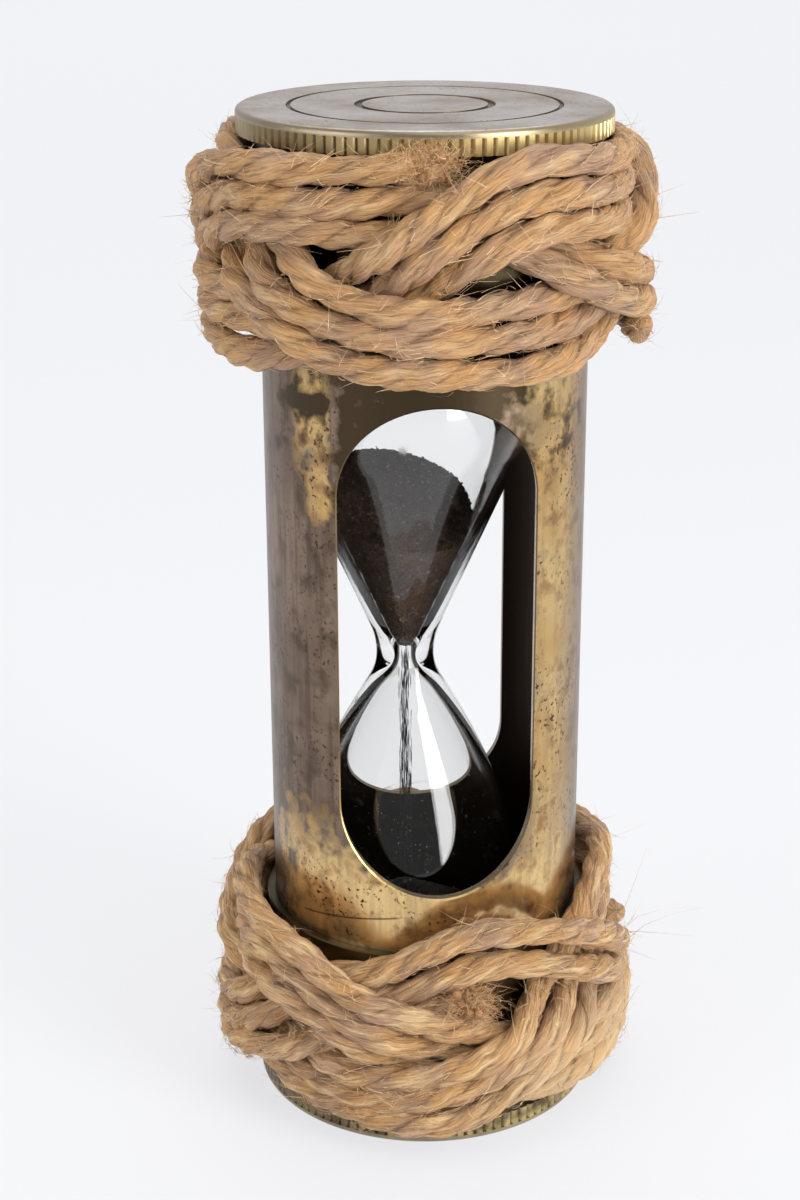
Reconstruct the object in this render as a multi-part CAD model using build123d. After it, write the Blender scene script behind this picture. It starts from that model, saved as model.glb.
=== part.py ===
from build123d import *

import os
from math import asin, atan2, cos, degrees, dist, hypot, pi, radians, sin, sqrt, tan

# Sand timer: a glass double bulb in a windowed brass tube, with a push-on brass cap at each end
# and a rope knot bound round each cap. Millimetres, +Z up, origin at the centre of the base face.
# The front window faces -Y.

# Brass tube and its two windows
timer_height = 150.0
tube_diameter = 46.5
tube_wall = 1.4
window_width = 27.7
window_length = 73.4
window_rise = 1.2
back_window_drop = 3.3
window_edge_break = 0.25

# Cap plates: knurled discs with two engraved circles on the outer face
plate_thickness = 3.3
plate_overhang = 1.6
plate_edge_round = 0.8
plain_rim_height = 1.0
knurl_pitch = 1.52
knurl_land = 0.85
knurl_depth = 0.35
engraving_depth = 0.3
small_circle_radius = 9.2
small_circle_width = 1.1
large_circle_radius = 18.8
large_circle_width = 0.65

# Cap sleeves: thin collars that push over the tube's ends, soldered into a groove in the plate
sleeve_wall = 1.2
sleeve_fit = 0.05
sleeve_length = 27.45
sleeve_seat_depth = 0.8
sleeve_rim_break = 0.2
solder_gap = 0.05

# Glass: a cone-shaped upper bulb and a bell-shaped lower bulb, leaning on the tube's left wall
waist_drop = 5.7
bulb_wall_gap = 0.35
belly_diameter = 37.0
glass_wall = 1.0
waist_diameter = 8.6
waist_bore = 2.2
upper_waist_round = 11.4
lower_waist_round = 8.0
bore_round = 5.0
upper_shoulder_round = 14.0
upper_dome_length = 24.6
lower_dome_length = 12.8
dome_flat_diameter = 9.0

# Sand: what is left above, the falling stream and the heap below
sand_gap = 0.1
sand_throat = 1.6
sand_fill_height = 22.7
sand_tilt = 20.2
sand_high_side = 116.4
stream_diameter = 1.8
heap_height = 23.0
heap_slope = 30.0

# Packing pads that seat the bulbs in the caps
lower_pad_floor = 5.0
upper_pad_floor = 15.0
pad_nest_depth = 5.0
pad_side_gap = 0.3
pad_glass_gap = 0.3

# Rope knots: a Turk's head of three leads and four bights, followed round three times
rope_diameter = 3.4
lane_gap = 0.65
crossing_gap = 0.65
rope_rest_gap = 0.3
knot_seat_gap = 0.8
leads = 3
bights = 4
passes = 3
bight_rise_lanes = 2.25
wave_flatness = 0.10
lane_lead = 12.0
side_change = 13.0
over_ends = 140.0
lane_change = 60.0
rope_end_gap = 6.0
arc_step = 9.0
top_rope_start = 907.0
top_knot_turn = -122.0
bottom_rope_start = 413.25
bottom_knot_turn = -118.0
slack_rise = 4.5
slack_side = 40.0
slack_lane_loss = 0.4

# Sizes worked out from those above
tube_radius = tube_diameter / 2
bore_radius = tube_radius - tube_wall
sleeve_inner_radius = tube_radius + sleeve_fit
sleeve_radius = sleeve_inner_radius + sleeve_wall
plate_radius = sleeve_radius + plate_overhang
top_seat = timer_height - plate_thickness
window_height = timer_height / 2 + window_rise
waist_height = timer_height / 2 - waist_drop
belly_radius = belly_diameter / 2
glass_shift = bore_radius - belly_radius - bulb_wall_gap
waist_radius = waist_diameter / 2
throat_radius = waist_bore / 2
dome_flat_radius = dome_flat_diameter / 2
glass_top = top_seat - upper_pad_floor
glass_bottom = plate_thickness + lower_pad_floor
upper_length = glass_top - waist_height
lower_length = waist_height - glass_bottom
glass_place = Pos(-glass_shift, 0, waist_height)
lane_step = rope_diameter + lane_gap
side_step = (rope_diameter + crossing_gap) / 2
bight_rise = bight_rise_lanes * lane_step
knot_radius = sleeve_radius + rope_rest_gap + rope_diameter / 2 + side_step
knot_height = plate_thickness + knot_seat_gap + rope_diameter / 2 + lane_step + bight_rise
upright = Pos(0, 0, timer_height) * Rot(180, 0, 0)


def ring(outer_radius, inner_radius, low, high):
    """A plain ring about Z between two heights."""
    blank = Cylinder(outer_radius, high - low, align=(Align.CENTER, Align.CENTER, Align.MIN))
    hole = Cylinder(inner_radius, high - low, align=(Align.CENTER, Align.CENTER, Align.MIN))
    return Pos(0, 0, low) * (blank - hole)


def window(height, side):
    """A straight-milled slot through one wall: side -1 is the front, 1 the back."""
    slot = Pos(0, 0, height) * Rot(90, 0, 0) * SlotOverall(window_length, window_width, rotation=90)
    return extrude(slot, amount=tube_diameter, dir=(0, side, 0))


def body_tube():
    """The tube seats between the two plates, and its window edges are broken outside."""
    tube = ring(tube_radius, bore_radius, plate_thickness, top_seat)
    tube = tube - window(window_height, -1) - window(window_height - back_window_drop, 1)
    rims = []
    for edge in tube.edges():
        middle = edge @ 0.5
        outside = abs(hypot(middle.X, middle.Y) - tube_radius) < tube_wall / 2
        if outside and abs(middle.Y) > window_width / 2:
            rims.append(edge)
    return chamfer(rims, window_edge_break)


def knurled_band():
    """The gripping edge: flat lands with a V groove between each two."""
    count = round(2 * pi * plate_radius / knurl_pitch)
    land_angle = knurl_land / plate_radius
    points = []
    for index in range(count):
        middle = 2 * pi * index / count
        groove = middle + pi / count
        for angle in (middle - land_angle / 2, middle + land_angle / 2):
            points.append((plate_radius * cos(angle), plate_radius * sin(angle)))
        points.append(((plate_radius - knurl_depth) * cos(groove), (plate_radius - knurl_depth) * sin(groove)))
    outline = make_face(Polyline(*points, close=True))
    return Pos(0, 0, plain_rim_height) * extrude(outline, amount=plate_thickness - plain_rim_height)


def engraved_circle(radius, width):
    return ring(radius + width / 2, radius - width / 2, 0, engraving_depth)


def cap_plate():
    """The bottom plate, with its outer face on z = 0."""
    rim = Cylinder(plate_radius, plain_rim_height, align=(Align.CENTER, Align.CENTER, Align.MIN))
    rim = fillet(rim.edges().sort_by(Axis.Z)[0], plate_edge_round)
    plate = rim + knurled_band()
    plate = plate - engraved_circle(small_circle_radius, small_circle_width)
    plate = plate - engraved_circle(large_circle_radius, large_circle_width)
    seat_low = plate_thickness - sleeve_seat_depth
    seat = ring(sleeve_radius + solder_gap, sleeve_inner_radius - solder_gap, seat_low, plate_thickness)
    return plate - seat


def cap_sleeve():
    """The bottom sleeve, standing in the plate's groove."""
    low = plate_thickness - sleeve_seat_depth
    high = plate_thickness + sleeve_length
    sleeve = ring(sleeve_radius, sleeve_inner_radius, low, high)
    rims = sleeve.edges().group_by(Axis.Z)[-1]
    return chamfer(rims.sort_by(SortBy.RADIUS)[-1], sleeve_rim_break)


def cone_side(neck, neck_round, belly, shoulder_round, shoulder_height):
    """Bulb side from the waist up: a hollow round, a straight cone and the shoulder's round."""
    across = belly - shoulder_round - neck - neck_round
    both_rounds = neck_round + shoulder_round
    lean = atan2(across, shoulder_height) + asin(both_rounds / hypot(across, shoulder_height))
    cone_low = (neck + neck_round * (1 - cos(lean)), neck_round * sin(lean))
    cone_high = (belly - shoulder_round * (1 - cos(lean)), shoulder_height - shoulder_round * sin(lean))
    hollow = TangentArc((neck, 0), cone_low, tangent=(0, 1))
    shoulder = TangentArc(cone_high, (belly, shoulder_height), tangent=(sin(lean), cos(lean)))
    return [hollow, Line(cone_low, cone_high), shoulder]


def bell_side(neck, neck_round, belly, shoulder_height):
    """Bulb side from the waist: a hollow round that runs straight into one long full round."""
    both_rounds = ((belly - neck) ** 2 + shoulder_height**2) / (2 * (belly - neck))
    lean = asin(shoulder_height / both_rounds)
    meet = (neck + neck_round * (1 - cos(lean)), neck_round * sin(lean))
    hollow = TangentArc((neck, 0), meet, tangent=(0, 1))
    full = TangentArc(meet, (belly, shoulder_height), tangent=(sin(lean), cos(lean)))
    return [hollow, full]


def bulb(side, neck, belly, shoulder_height, flat, length):
    """A solid bulb about Z from the waist at z = 0 to its flattened dome."""
    dome = EllipticalCenterArc((flat, shoulder_height), belly - flat, length - shoulder_height)
    end = Line((flat, length), (0, length))
    axis_line = Line((0, length), (0, 0))
    floor = Line((0, 0), (neck, 0))
    outline = make_face(Curve() + [*side, dome, end, axis_line, floor])
    return revolve(Plane.XZ * outline, Axis.Z)


def upper_bulb(inset, neck, neck_round, end_inset):
    """The upper bulb's outside, drawn in by an inset. The end has an inset of its own."""
    belly = belly_radius - inset
    shoulder_height = upper_length - upper_dome_length
    side = cone_side(neck, neck_round, belly, upper_shoulder_round - inset, shoulder_height)
    return bulb(side, neck, belly, shoulder_height, dome_flat_radius, upper_length - end_inset)


def lower_bulb(inset, neck, neck_round, end_inset):
    """The lower bulb's outside, drawn in by an inset and hanging down from the waist."""
    belly = belly_radius - inset
    shoulder_height = lower_length - lower_dome_length
    side = bell_side(neck, neck_round, belly, shoulder_height)
    return Rot(180, 0, 0) * bulb(side, neck, belly, shoulder_height, dome_flat_radius, lower_length - end_inset)


def glass_ampoule():
    outside = upper_bulb(0, waist_radius, upper_waist_round, 0)
    outside = outside + lower_bulb(0, waist_radius, lower_waist_round, 0)
    room = upper_bulb(glass_wall, throat_radius, bore_round, glass_wall)
    room = room + lower_bulb(glass_wall, throat_radius, bore_round, glass_wall)
    return glass_place * (outside - room)


def upper_sand():
    """What is left above: the bulb's inside up to a tilted surface."""
    inset = glass_wall + sand_gap
    fill = upper_bulb(inset, throat_radius - sand_gap, bore_round, inset)
    across = belly_diameter * 2
    throat = Box(across, across, sand_throat, align=(Align.CENTER, Align.CENTER, Align.MIN))
    surface = Pos(0, 0, sand_fill_height) * Rot(0, 0, sand_high_side) * Rot(0, -sand_tilt, 0)
    below = surface * Box(across, across, across, align=(Align.CENTER, Align.CENTER, Align.MAX))
    return glass_place * ((fill & below) - throat)


def lower_sand():
    """The heap: the lower bulb's inside up to a cone that ends under the stream."""
    inset = glass_wall + sand_gap
    fill = lower_bulb(inset, throat_radius - sand_gap, bore_round, inset)
    peak = heap_height - lower_length
    foot = peak - (belly_radius - stream_diameter / 2) * tan(radians(heap_slope))
    points = [(0, peak), (stream_diameter / 2, peak), (belly_radius, foot)]
    points += [(belly_radius, -lower_length), (0, -lower_length)]
    heap = revolve(Plane.XZ * make_face(Polyline(*points, close=True)), Axis.Z)
    return glass_place * (fill & heap)


def sand_stream():
    low = heap_height - lower_length
    stream = Cylinder(stream_diameter / 2, sand_throat - low, align=(Align.CENTER, Align.CENTER, Align.MIN))
    return glass_place * Pos(0, 0, low) * stream


def packing_pad(low, high, nest):
    """A disc in the tube's bore, with a dish that takes the end of a bulb."""
    pad = Cylinder(bore_radius - pad_side_gap, high - low, align=(Align.CENTER, Align.CENTER, Align.MIN))
    return Pos(0, 0, low) * pad - glass_place * nest


def bottom_packing_pad():
    nest = lower_bulb(-pad_glass_gap, waist_radius, lower_waist_round, 0)
    return packing_pad(plate_thickness, glass_bottom + pad_nest_depth, nest)


def top_packing_pad():
    nest = upper_bulb(-pad_glass_gap, waist_radius, upper_waist_round, 0)
    return packing_pad(glass_top - pad_nest_depth, top_seat, nest)


def ease(share):
    """A smooth step from 0 to 1."""
    share = min(max(share, 0.0), 1.0)
    return share * share * (3 - 2 * share)


def side_of(phase):
    """Whether the rope runs under (-1) or over (1) at a phase of its wave, in degrees."""
    phase = phase % 180
    if phase > over_ends:
        return 1 - 2 * ease((phase - over_ends) / (2 * (180 - over_ends)))
    if phase < 180 - over_ends:
        return 1 - 2 * ease((phase + 180 - over_ends) / (2 * (180 - over_ends)))
    return 2 * ease((phase - 90 + side_change) / (2 * side_change)) - 1


def lane_of(turned):
    """The lane, from -1 to 1, at an angle turned since the rope's start."""
    one_pass = 360 * leads
    number = min(int(turned // one_pass), passes - 1)
    if number == passes - 1:
        return number - 1
    return number - 1 + ease((turned - number * one_pass - one_pass + lane_change) / lane_change)


def rope_point(start, turned, slack, order):
    """A point of the rope's centre line, about the knot's own middle. Order -1 starts in the top lane."""
    turn = start + turned
    lane = order * lane_of(turned)
    wave = radians(turn) * bights / leads
    share = 1 - wave_flatness
    height = bight_rise * (cos(wave) - wave_flatness * cos(3 * wave)) / share
    climb = bight_rise * (3 * wave_flatness * sin(3 * wave) - sin(wave)) / share * bights / leads
    slope = hypot(climb, knot_radius)
    angle = radians(turn) - lane * lane_step * climb / slope / knot_radius
    radius = knot_radius + side_step * side_of(degrees(wave) - lane_lead * lane * sin(wave))
    bight_share = ((1 - cos(wave)) / 2) ** 2
    side_share = ((1 + cos(radians(turn - slack_side))) / 2) ** 2
    loose = bight_share * side_share * (1 - slack_lane_loss * (lane + 1))
    height = height + lane * lane_step * knot_radius / slope - slack * loose
    return Vector(radius * sin(angle), -radius * cos(angle), height)


def rope_heading(start, turned, slack, order):
    small = 0.05
    ahead = rope_point(start, turned + small, slack, order)
    return (ahead - rope_point(start, turned - small, slack, order)).normalized()


def biarc(point_a, heading_a, point_b, heading_b):
    """Two tangent arcs from one point and heading to the next."""
    gap = point_b - point_a
    both = heading_a + heading_b
    spread = 2 * (1 - heading_a.dot(heading_b))
    reach = (sqrt(gap.dot(both) ** 2 + spread * gap.dot(gap)) - gap.dot(both)) / spread
    meet = (point_a + point_b + (heading_a - heading_b) * reach) / 2
    heading = (meet - point_a - heading_a * reach).normalized()
    return [TangentArc(point_a, meet, tangent=heading_a), TangentArc(meet, point_b, tangent=heading)]


def least_gap(arcs):
    """The least gap between the rope and itself, measured on points along its arcs."""
    next_turn = 4 * rope_diameter
    points = []
    along = 0.0
    for arc in arcs:
        for share in (0.0, 0.25, 0.5, 0.75):
            place = arc @ share
            points.append((along + share * arc.length, place.X, place.Y, place.Z))
        along += arc.length
    least = along
    for index, one in enumerate(points):
        for other in points[index + 1 :]:
            if other[0] - one[0] > next_turn:
                least = min(least, dist(one[1:], other[1:]))
    return least - rope_diameter


def rope_knot(name, start, slack, order):
    """One unbroken rope on arcs that follow the knot, about the knot's own middle."""
    whole = 360 * leads * passes - lane_change - rope_end_gap
    count = round(whole / arc_step)
    stations = [whole * index / count for index in range(count + 1)]
    places = []
    for at in stations:
        places.append((rope_point(start, at, slack, order), rope_heading(start, at, slack, order)))
    arcs = []
    for (point_a, heading_a), (point_b, heading_b) in zip(places, places[1:]):
        arcs += biarc(point_a, heading_a, point_b, heading_b)
    section = Plane(places[0][0], z_dir=places[0][1]) * Circle(rope_diameter / 2)
    rope = sweep(section, Wire(arcs), clean=False)
    length = sum(arc.length for arc in arcs)
    share = rope.volume / (length * pi * rope_diameter**2 / 4)
    tightest = min(arc.radius for arc in arcs)
    print(name, "rope length", round(length), "mm, volume over section times length", round(share, 4))
    print(name, "least gap to itself", round(least_gap(arcs), 2), "mm, tightest arc", round(tightest, 2), "mm")
    return rope


def top_rope_knot():
    place = Pos(0, 0, timer_height - knot_height) * Rot(0, 0, top_knot_turn)
    return place * rope_knot("top_rope_knot", top_rope_start, 0, 1)


def bottom_rope_knot():
    """The same knot upside down, with slack in the bights that stand up at the front."""
    place = Pos(0, 0, knot_height) * Rot(0, 0, bottom_knot_turn) * Rot(180, 0, 0)
    return place * rope_knot("bottom_rope_knot", bottom_rope_start, slack_rise, -1)


nodes = {
    "body_tube": body_tube(),
    "glass_ampoule": glass_ampoule(),
    "upper_sand": upper_sand(),
    "lower_sand": lower_sand(),
    "sand_stream": sand_stream(),
    "bottom_packing_pad": bottom_packing_pad(),
    "bottom_cap_plate": cap_plate(),
    "bottom_cap_sleeve": cap_sleeve(),
    "bottom_rope_knot": bottom_rope_knot(),
    "top_packing_pad": top_packing_pad(),
    "top_cap_plate": upright * cap_plate(),
    "top_cap_sleeve": upright * cap_sleeve(),
    "top_rope_knot": top_rope_knot(),
}
os.makedirs("parts", exist_ok=True)
for name, shape in nodes.items():
    export_step(shape, f"parts/{name}.step")
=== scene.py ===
from math import asin, atan2, cos, hypot, pi, radians, sin

import bpy
import numpy as np
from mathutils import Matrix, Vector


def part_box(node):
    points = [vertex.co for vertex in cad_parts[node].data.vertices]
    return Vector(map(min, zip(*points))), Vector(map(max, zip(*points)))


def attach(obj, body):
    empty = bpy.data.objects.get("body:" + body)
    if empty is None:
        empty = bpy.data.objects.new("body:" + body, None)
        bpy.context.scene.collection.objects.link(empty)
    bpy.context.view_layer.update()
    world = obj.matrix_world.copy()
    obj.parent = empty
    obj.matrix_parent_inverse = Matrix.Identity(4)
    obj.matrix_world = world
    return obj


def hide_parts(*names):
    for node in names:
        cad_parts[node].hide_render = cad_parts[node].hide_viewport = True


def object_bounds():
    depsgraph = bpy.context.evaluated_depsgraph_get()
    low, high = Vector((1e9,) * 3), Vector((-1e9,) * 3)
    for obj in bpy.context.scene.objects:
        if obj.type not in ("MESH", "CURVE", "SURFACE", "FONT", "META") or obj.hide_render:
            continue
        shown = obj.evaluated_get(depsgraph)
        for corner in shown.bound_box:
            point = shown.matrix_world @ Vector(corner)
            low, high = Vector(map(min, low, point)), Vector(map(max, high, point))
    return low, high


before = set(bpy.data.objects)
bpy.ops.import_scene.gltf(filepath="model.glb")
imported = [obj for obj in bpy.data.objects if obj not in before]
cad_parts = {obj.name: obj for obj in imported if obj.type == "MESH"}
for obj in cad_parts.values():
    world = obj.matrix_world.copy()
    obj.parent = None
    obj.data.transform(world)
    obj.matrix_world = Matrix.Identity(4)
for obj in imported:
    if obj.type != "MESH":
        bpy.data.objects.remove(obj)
cad_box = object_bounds()


# The studio. A pale floor fills the photo's view. A tall soft lamp stands at the front right, a wider
# one at the left, a large one hangs high up and a fourth lights the floor behind. The room is dimmer
# behind the camera.
def set_inputs(tree, node, inputs):
    """Gives inputs of a node, by name or number, a plain value or the socket that feeds them."""
    for name, value in inputs.items():
        if isinstance(value, bpy.types.NodeSocket):
            tree.links.new(value, node.inputs[name])
        else:
            node.inputs[name].default_value = value


def shader_node(tree, kind, inputs=None, **settings):
    """A new shader node with its settings and inputs."""
    made = tree.nodes.new(kind)
    for name, value in settings.items():
        setattr(made, name, value)
    set_inputs(tree, made, inputs or {})
    return made


def new_material(name):
    """An empty material, its node tree and its surface shader."""
    material = bpy.data.materials.new(name)
    material.use_nodes = True
    tree = material.node_tree
    tree.nodes.clear()
    surface = shader_node(tree, "ShaderNodeBsdfPrincipled")
    shader_node(tree, "ShaderNodeOutputMaterial", {"Surface": surface.outputs["BSDF"]})
    return material, tree, surface


def arithmetic(tree, operation, first, second=0.0):
    """The outcome of one operation on two values, each a number or a socket."""
    return shader_node(tree, "ShaderNodeMath", {0: first, 1: second}, operation=operation).outputs["Value"]


def times(tree, first, second):
    return arithmetic(tree, "MULTIPLY", first, second)


def larger(tree, first, second):
    return arithmetic(tree, "MAXIMUM", first, second)


def between(tree, value, low, high, start=0.0, end=1.0):
    """A value between low and high taken to a share from start to end, and held there outside."""
    inputs = {"Value": value, "From Min": low, "From Max": high, "To Min": start, "To Max": end}
    return shader_node(tree, "ShaderNodeMapRange", inputs).outputs["Result"]


def axes_of(tree, vector):
    """The X, Y and Z of a vector."""
    return shader_node(tree, "ShaderNodeSeparateXYZ", {"Vector": vector}).outputs


scene = bpy.context.scene
scene.view_settings.view_transform = "Standard"

floor_size = 8.0
floor_glow_share = 0.75
bpy.ops.object.select_all(action="DESELECT")
bpy.ops.mesh.primitive_plane_add(size=floor_size)
studio_floor = bpy.context.object
studio_floor.name = "studio_floor"
floor_paint, floor_tree, floor_surface = new_material("floor_paint")
set_inputs(floor_tree, floor_surface, {"Base Color": (0.86, 0.865, 0.885, 1), "Roughness": 0.85})
floor_glow = shader_node(floor_tree, "ShaderNodeEmission", {"Color": (0.90, 0.905, 0.935, 1)})
floor_rays = shader_node(floor_tree, "ShaderNodeLightPath").outputs
floor_seen = larger(floor_tree, floor_rays["Is Glossy Ray"], floor_rays["Is Transmission Ray"])
floor_seen = larger(floor_tree, floor_rays["Is Camera Ray"], floor_seen)
floor_shaders = {
    0: times(floor_tree, floor_seen, floor_glow_share),
    1: floor_surface.outputs["BSDF"],
    2: floor_glow.outputs["Emission"],
}
floor_blend = shader_node(floor_tree, "ShaderNodeMixShader", floor_shaders)
floor_end = next(node for node in floor_tree.nodes if node.type == "OUTPUT_MATERIAL")
set_inputs(floor_tree, floor_end, {"Surface": floor_blend.outputs["Shader"]})
studio_floor.data.materials.append(floor_paint)

room_front_level = 0.34
room_back_level = 0.90
room_seen_level = 0.88
room = bpy.data.worlds.new("studio_room")
room.use_nodes = True
scene.world = room
room_tree = room.node_tree
room_tree.nodes.clear()
room_way = shader_node(room_tree, "ShaderNodeTexCoord").outputs["Generated"]
room_depth = axes_of(room_tree, room_way)["Y"]
room_level = between(room_tree, room_depth, -0.5, 0.6, room_front_level, room_back_level)
room_ray = shader_node(room_tree, "ShaderNodeLightPath").outputs["Is Camera Ray"]
room_level = larger(room_tree, room_level, times(room_tree, room_ray, room_seen_level))
room_light = shader_node(room_tree, "ShaderNodeBackground", {"Strength": room_level})
shader_node(room_tree, "ShaderNodeOutputWorld", {"Surface": room_light.outputs["Background"]})


def soft_lamp(name, power, width, height, place, aim):
    """A flat soft lamp that faces a point."""
    light = bpy.data.lights.new(name, "AREA")
    light.shape = "RECTANGLE"
    light.size = width
    light.size_y = height
    light.energy = power
    lamp = bpy.data.objects.new(name, light)
    scene.collection.objects.link(lamp)
    lamp.location = place
    way = [a - b for a, b in zip(aim, place)]
    flat = hypot(way[0], way[1])
    lamp.rotation_euler = (atan2(flat, -way[2]), 0, atan2(-way[0], way[1]))


timer_middle = (0.0, 0.0, 0.075)
soft_lamp("tall_lamp", power=4.4, width=0.26, height=0.6, place=(0.44, -0.45, 0.26), aim=timer_middle)
soft_lamp("left_lamp", power=2.6, width=0.5, height=0.6, place=(-0.66, -0.36, 0.36), aim=timer_middle)
soft_lamp("high_lamp", power=12.0, width=2.2, height=2.2, place=(0.5, -0.75, 2.3), aim=(0.0, 0.1, 0.0))
soft_lamp("back_lamp", power=34.0, width=2.5, height=2.0, place=(0.0, 1.9, 2.4), aim=(0.0, 2.6, 0.0))

camera_turn = radians(-5.2)
camera_distance = 0.3068
camera_height = 0.191
camera_dip = radians(20.34)
photo_focal_pixels = 2198.0
photo_centre_shift = 24.9
photo_height_pixels = 1200.0
camera_data = bpy.data.cameras.new("photo_camera")
camera_data.lens = photo_focal_pixels / photo_height_pixels * camera_data.sensor_width
camera_data.shift_x = -photo_centre_shift / photo_height_pixels
camera_data.clip_start = 0.01
camera = bpy.data.objects.new("photo_camera", camera_data)
scene.collection.objects.link(camera)
camera.location = (sin(camera_turn) * camera_distance, -cos(camera_turn) * camera_distance, camera_height)
camera.rotation_euler = (pi / 2 - camera_dip, 0, camera_turn)
scene.camera = camera


# The glass: one blown tube drawn in to a thick waist, with a cone-shaped bulb above and a bell-shaped
# one below. It leans on the tube's left wall. Clear soda glass, with a little dust on it.
def bulb_side(neck, neck_round, belly, shoulder_round, shoulder_height, flat, length):
    """Radius and height from the waist to the pole: hollow round, cone, shoulder and flattened dome."""
    across = belly - shoulder_round - neck - neck_round
    both = neck_round + shoulder_round
    lean = atan2(across, shoulder_height) + asin(min(1.0, both / hypot(across, shoulder_height)))
    points = []
    for angle in np.linspace(0, lean, 12):
        points.append((neck + neck_round * (1 - cos(angle)), neck_round * sin(angle)))
    for angle in np.linspace(lean, 0, 16):
        rise = shoulder_height - shoulder_round * sin(angle)
        points.append((belly - shoulder_round * (1 - cos(angle)), rise))
    for angle in np.linspace(0, pi / 2, 18)[1:]:
        out = flat + (belly - flat) * cos(angle)
        points.append((out, shoulder_height + (length - shoulder_height) * sin(angle)))
    return points + [(0.0, length)]


def turned_shell(name, outline, centre, inside):
    """Spins a line of radius and height round an upright axis. Faces point out, or in for an inside."""
    bpy.ops.object.select_all(action="DESELECT")
    start = (centre[0] + outline[0][0], centre[1], centre[2] + outline[0][1])
    bpy.ops.mesh.primitive_plane_add(size=0.001, location=start)
    piece = bpy.context.object
    piece.name = name
    bpy.ops.object.mode_set(mode="EDIT")
    bpy.ops.mesh.select_all(action="SELECT")
    bpy.ops.mesh.merge(type="CENTER")
    for (out_a, rise_a), (out_b, rise_b) in zip(outline, outline[1:]):
        step = (out_b - out_a, 0, rise_b - rise_a)
        bpy.ops.mesh.extrude_vertices_move(TRANSFORM_OT_translate={"value": step})
    bpy.ops.mesh.select_all(action="SELECT")
    bpy.ops.mesh.spin(steps=128, angle=2 * pi, center=centre, axis=(0, 0, 1))
    bpy.ops.mesh.select_all(action="SELECT")
    bpy.ops.mesh.remove_doubles(threshold=0.000002)
    bpy.ops.mesh.normals_make_consistent(inside=inside)
    bpy.ops.object.mode_set(mode="OBJECT")
    bpy.ops.object.transform_apply(location=True, rotation=True, scale=True)
    bpy.ops.object.shade_smooth()
    return piece


def join_pieces(pieces):
    """Joins the other pieces into the first one."""
    bpy.ops.object.select_all(action="DESELECT")
    for piece in pieces:
        piece.select_set(True)
    bpy.context.view_layer.objects.active = pieces[0]
    bpy.ops.object.join()
    return pieces[0]


# Each waist: its radius, the hollow round above it and the hollow round below it.
outer_waist = (0.0043, 0.0114, 0.008)
inner_waist = (0.0011, 0.005, 0.005)
waist_height = 0.0693
glass_wall = 0.001
upper_dome = 0.0246
lower_dome = 0.0128
dome_flat = 0.0045
upper_shoulder_round = 0.014
glass_low, glass_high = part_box("glass_ampoule")
belly_radius = (glass_high.x - glass_low.x) / 2
glass_centre = ((glass_high.x + glass_low.x) / 2, 0.0, waist_height)
upper_length = glass_high.z - waist_height
lower_length = waist_height - glass_low.z
upper_shoulder = upper_length - upper_dome
lower_shoulder = lower_length - lower_dome


def bell_shoulder(neck, neck_round, belly):
    """The lower bulb's full round that meets its hollow round with no straight between."""
    across = belly - neck
    return (across**2 + lower_shoulder**2) / (2 * across) - neck_round


def glass_outline(inset, neck, upper_round, lower_round):
    """Both bulbs' side from the bottom pole to the top pole, drawn in by an inset."""
    belly = belly_radius - inset
    full = bell_shoulder(neck, lower_round, belly)
    lower = bulb_side(neck, lower_round, belly, full, lower_shoulder, dome_flat, lower_length - inset)
    shoulder = upper_shoulder_round - inset
    upper = bulb_side(neck, upper_round, belly, shoulder, upper_shoulder, dome_flat, upper_length - inset)
    return [(out, -rise) for out, rise in reversed(lower)] + upper[1:]


glass_outside = turned_shell("glass_bulbs", glass_outline(0, *outer_waist), glass_centre, False)
glass_inside = turned_shell("glass_room", glass_outline(glass_wall, *inner_waist), glass_centre, True)
glass_bulbs = join_pieces([glass_outside, glass_inside])


def own_place(tree):
    """Where a point is on its own piece, whatever the pose."""
    return shader_node(tree, "ShaderNodeTexCoord").outputs["Object"]


def noise(tree, place, scale, detail=2.0, roughness=0.5):
    """A cloudy value about 0.5 that changes from place to place."""
    inputs = {"Vector": place, "Scale": scale, "Detail": detail, "Roughness": roughness}
    return shader_node(tree, "ShaderNodeTexNoise", inputs).outputs["Fac"]


clear_glass, glass_tree, glass_surface = new_material("clear_glass")
glass_film = noise(glass_tree, own_place(glass_tree), 420.0, 4.0)
glass_look = {
    "Base Color": (0.985, 0.99, 0.985, 1),
    "Transmission Weight": 1.0,
    "IOR": 1.5,
    "Roughness": between(glass_tree, glass_film, 0.62, 0.75, 0.0, 0.25),
}
set_inputs(glass_tree, glass_surface, glass_look)
glass_bulbs.data.materials.append(clear_glass)
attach(glass_bulbs, "case")
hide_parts("glass_ampoule")


# The sand: fine black grain with a few pale grains in it. Some is left above, with a slope where it
# slid to the back left, a thin stream falls, and a heap stands below. It lies loose in the glass, and
# pale dust of it clings inside the lower bulb.
def blend(tree, share, first, second):
    """A colour that goes from the first to the second as the share goes from 0 to 1."""
    return shader_node(tree, "ShaderNodeMix", {0: share, 6: first, 7: second}, data_type="RGBA").outputs[2]


def bumps(tree, strength, distance, height, invert=False):
    """A surface direction that follows the rise and fall of a height."""
    inputs = {"Strength": strength, "Distance": distance, "Height": height}
    return shader_node(tree, "ShaderNodeBump", inputs, invert=invert).outputs["Normal"]


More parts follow.
